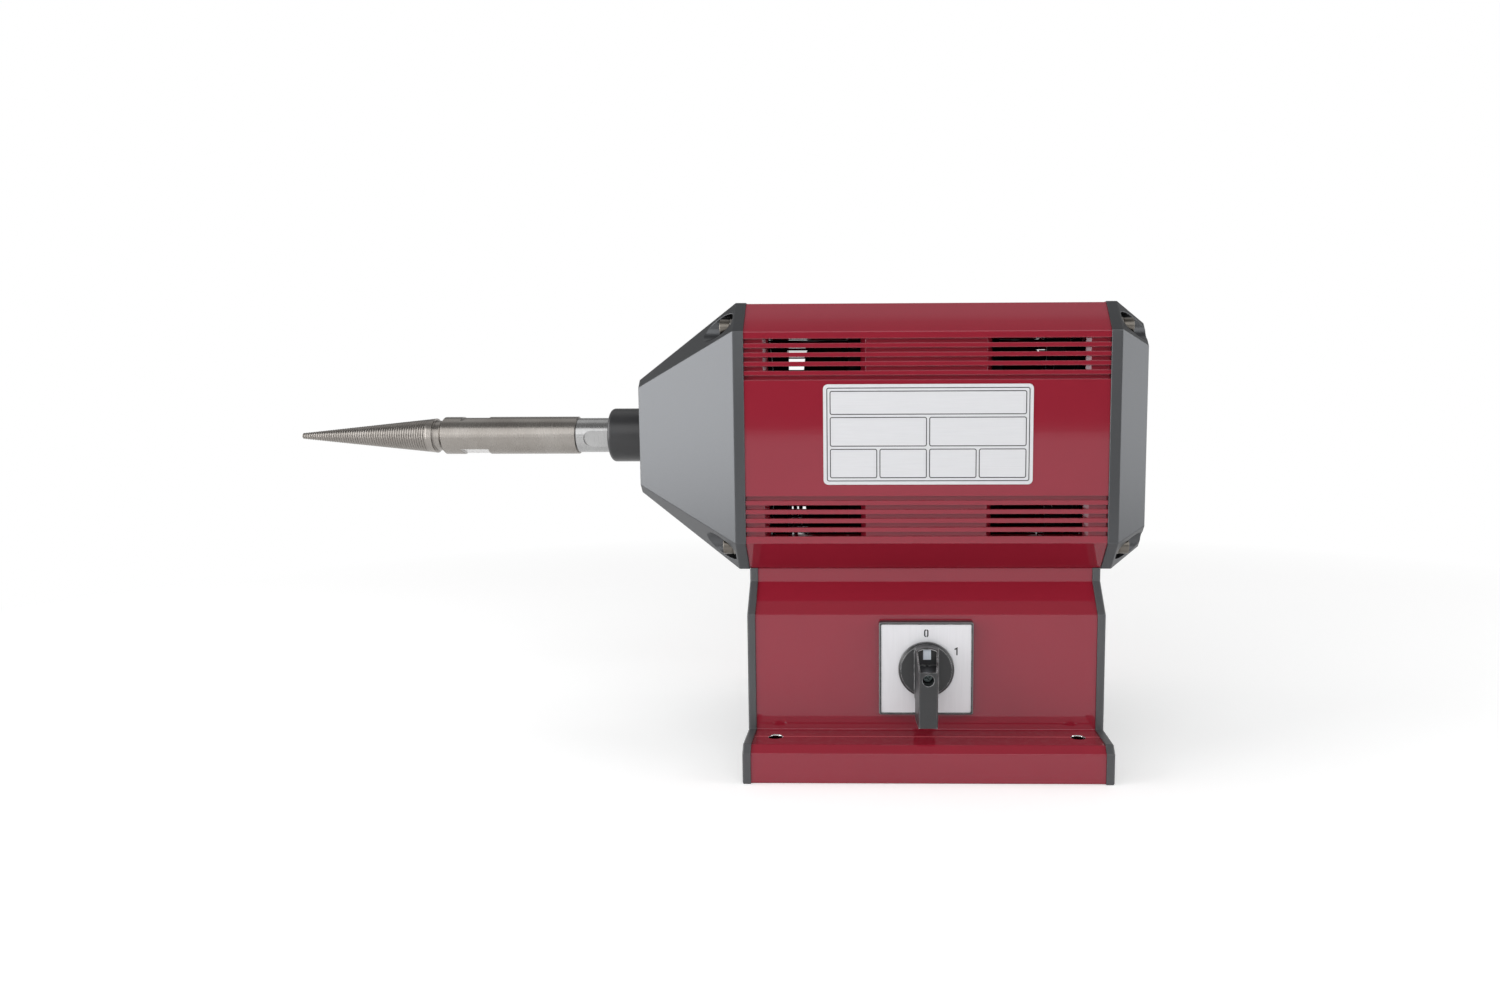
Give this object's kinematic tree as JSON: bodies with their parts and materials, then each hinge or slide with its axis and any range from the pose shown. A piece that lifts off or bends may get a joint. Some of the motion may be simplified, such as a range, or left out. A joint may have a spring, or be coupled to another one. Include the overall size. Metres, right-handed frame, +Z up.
{
  "type": "bench polishing machine",
  "caption": "Bench polishing motor in an octagonal slotted housing on a hollow bolt-down base, with a rotary switch and a long threaded taper spindle for buffs.",
  "frame": {"origin": "on the bench plane, under the middle of the base, at the centre of the bolt pattern", "axes": "+X along the motor shaft away from the spindle, -Y towards the front with the switch, +Z up"},
  "size_m": [0.4665, 0.1926, 0.2379],
  "materials": {
    "red_coat": "gloss red powder coat on an aluminium extrusion",
    "graphite_coat": "metallic graphite paint on a die casting",
    "grey_plastic": "matt moulded",
    "black_plastic": "fine moulded grain",
    "foil_plate": "satin silver foil",
    "white_plastic": "satin",
    "spindle_steel": "turned and brushed",
    "ground_steel": "ground",
    "spring_steel": "oiled",
    "zinc_steel": "zinc plated",
    "electrical_steel": "laminated",
    "cast_aluminium": "as cast",
    "copper": "varnished copper",
    "soft_rubber": "matt",
    "nylon": "natural"
  },
  "bodies": {
    "machine": {"base_extrusion": "red_coat", "base_plate_screws": "zinc_steel", "bearing_circlip": "spring_steel", "bottom_cover": "zinc_steel", "bottom_cover_screws": "zinc_steel", "capacitor_clamp": "zinc_steel", "clamp_rivets": "zinc_steel", "drive_bearing_outer_ring": "ground_steel", "drive_cap_screws": "zinc_steel", "drive_cap_washers": "spring_steel", "drive_end_cap": "graphite_coat", "gland_body": "black_plastic", "gland_cap": "black_plastic", "gland_nut": "black_plastic", "gland_seal": "soft_rubber", "lead_grommet": "soft_rubber", "left_base_plate": "grey_plastic", "legend_plate": "foil_plate", "motor_bolts": "zinc_steel", "motor_housing": "red_coat", "motor_leads": "white_plastic", "motor_nuts": "zinc_steel", "rating_plate": "foil_plate", "rear_bearing_outer_ring": "ground_steel", "rear_cap_screws": "zinc_steel", "rear_cap_washers": "spring_steel", "rear_end_cap": "graphite_coat", "right_base_plate": "grey_plastic", "run_capacitor": "white_plastic", "shaft_collar": "black_plastic", "shaft_seal": "soft_rubber", "stator_core": "electrical_steel", "stator_winding": "copper", "switch_bezel": "black_plastic", "switch_body": "black_plastic", "switch_contacts": "copper", "switch_rear_cover": "black_plastic", "switch_screws": "zinc_steel", "terminal_block": "black_plastic", "wave_washer": "spring_steel"},
    "rotor": {"motor_shaft": "ground_steel", "rotor_core": "electrical_steel", "rotor_end_rings": "cast_aluminium", "drive_bearing_inner_ring": "ground_steel", "rear_bearing_inner_ring": "ground_steel", "cooling_fan": "black_plastic", "fan_clip": "spring_steel", "taper_spindle": "spindle_steel"},
    "drive_balls": {"drive_bearing_balls": "ground_steel", "drive_bearing_cage": "spring_steel"},
    "rear_balls": {"rear_bearing_balls": "ground_steel", "rear_bearing_cage": "spring_steel"},
    "knob": {"switch_cam": "nylon", "switch_knob": "black_plastic", "knob_index": "white_plastic", "knob_screw": "zinc_steel"}
  },
  "joints": [
    {"name": "spindle_spin", "type": "hinge", "parent": "machine", "child": "rotor", "pos_m": [0, 0, 0.1692], "axis": [1, 0, 0], "continuous": true},
    {"name": "drive_balls_roll", "type": "hinge", "parent": "machine", "child": "drive_balls", "pos_m": [-0.1403, 0, 0.1692], "axis": [1, 0, 0], "continuous": true},
    {"name": "rear_balls_roll", "type": "hinge", "parent": "machine", "child": "rear_balls", "pos_m": [0.1018, 0, 0.1692], "axis": [1, 0, 0], "continuous": true},
    {"name": "switch_turn", "type": "hinge", "parent": "machine", "child": "knob", "pos_m": [0, -0.0732, 0.0522], "axis": [0, 1, 0], "range_deg": [0, 60]}
  ],
  "couplings": [
    {"joint": "drive_balls_roll", "follows": "spindle_spin", "ratio": 0.3791},
    {"joint": "rear_balls_roll", "follows": "spindle_spin", "ratio": 0.3789}
  ]
}
